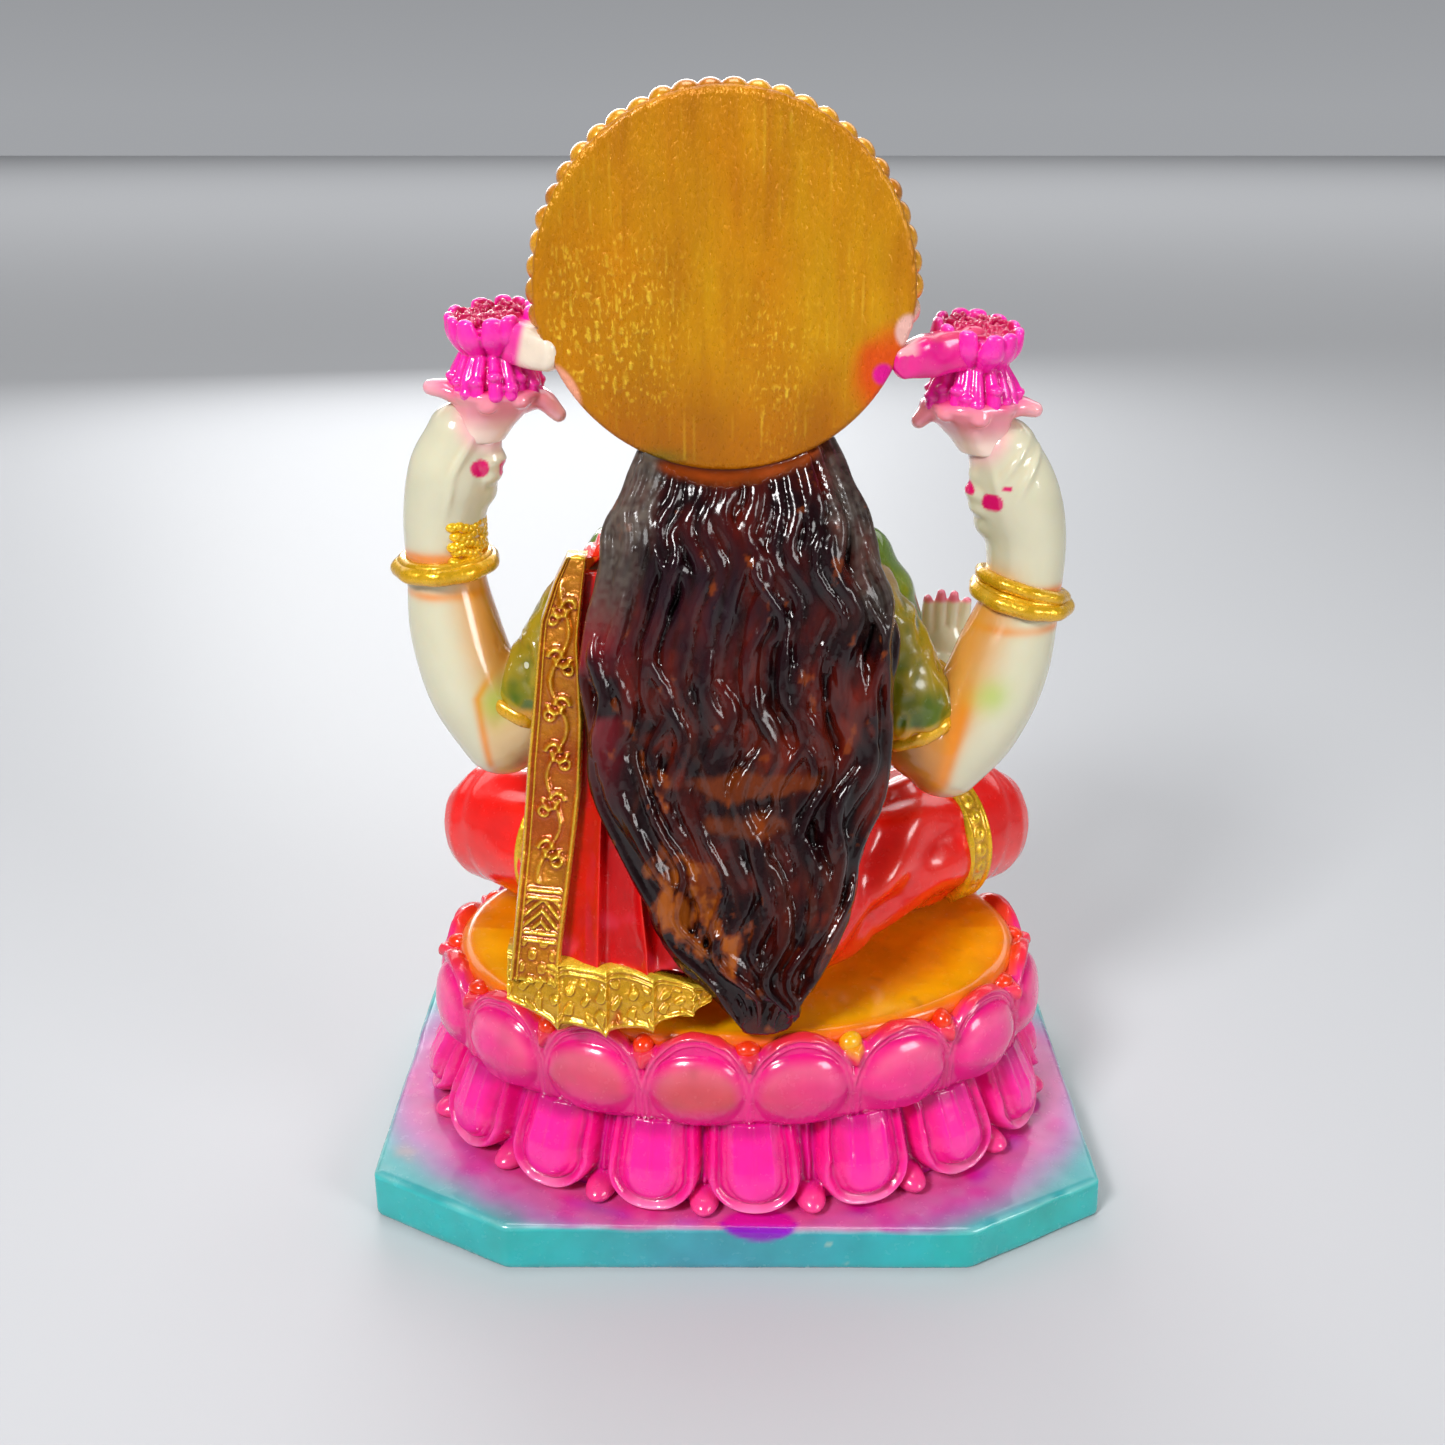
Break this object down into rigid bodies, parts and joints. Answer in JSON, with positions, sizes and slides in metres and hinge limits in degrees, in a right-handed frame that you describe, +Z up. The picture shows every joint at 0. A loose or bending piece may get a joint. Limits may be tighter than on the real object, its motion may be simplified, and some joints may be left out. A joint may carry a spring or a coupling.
{
  "type": "hindu deity statue",
  "caption": "Small painted resin figurine of a seated four-armed goddess on a double lotus and chamfered plinth, with a beaded halo and long hair down the back.",
  "frame": {"origin": "middle of the plinth's underside", "axes": "+Z up; the figure faces -Y; +X is towards the figure's own left side, along the plinth's long sides"},
  "size_m": [0.088, 0.06, 0.1265],
  "materials": {
    "teal_paint": "glossy hand-applied teal paint",
    "pink_paint": "glossy hot pink paint",
    "orange_paint": "glossy amber orange paint",
    "ivory_resin": "glossy bare ivory resin",
    "red_paint": "glossy red paint",
    "green_paint": "glossy olive green paint",
    "brown_paint": "glossy dark brown paint",
    "gold_paint": "metallic gold paint"
  },
  "bodies": {
    "root": {"anklet_left": "gold_paint", "anklet_right": "gold_paint", "chest_sash": "red_paint", "choker": "gold_paint", "coin_fall": "gold_paint", "crown": "gold_paint", "earring_left": "gold_paint", "earring_right": "gold_paint", "foot_left": "ivory_resin", "foot_right": "ivory_resin", "front_bangle_left": "gold_paint", "front_bangle_right": "gold_paint", "front_forearm_left": "ivory_resin", "front_forearm_right": "ivory_resin", "front_hand_left": "ivory_resin", "front_hand_right": "ivory_resin", "front_sleeve_left": "green_paint", "front_sleeve_right": "green_paint", "hair_back": "brown_paint", "hair_front": "brown_paint", "halo_beading": "gold_paint", "halo_disc": "gold_paint", "head": "ivory_resin", "held_lotus_left": "pink_paint", "held_lotus_right": "pink_paint", "knee_border_left": "gold_paint", "knee_border_right": "gold_paint", "long_necklace": "gold_paint", "lotus_bridge_left": "ivory_resin", "lotus_bridge_right": "pink_paint", "lotus_calyx_left": "pink_paint", "lotus_calyx_right": "pink_paint", "lotus_lower_tier": "pink_paint", "lotus_seat": "orange_paint", "lotus_upper_tier": "pink_paint", "midriff": "ivory_resin", "pallu": "red_paint", "pallu_border": "gold_paint", "pallu_hem": "gold_paint", "plinth": "teal_paint", "rear_bangle_left": "gold_paint", "rear_bangle_right": "gold_paint", "rear_forearm_left": "ivory_resin", "rear_forearm_right": "ivory_resin", "rear_hand_left": "ivory_resin", "rear_hand_right": "ivory_resin", "rear_sleeve_band_left": "gold_paint", "rear_sleeve_band_right": "gold_paint", "rear_sleeve_left": "green_paint", "rear_sleeve_right": "green_paint", "rear_upper_arm_left": "ivory_resin", "rear_upper_arm_right": "ivory_resin", "saree_front_pleats": "red_paint", "saree_hips": "red_paint", "saree_leg_left": "red_paint", "saree_leg_right": "red_paint", "torso_blouse": "green_paint", "waist_belt": "gold_paint"}
  },
  "joints": []
}
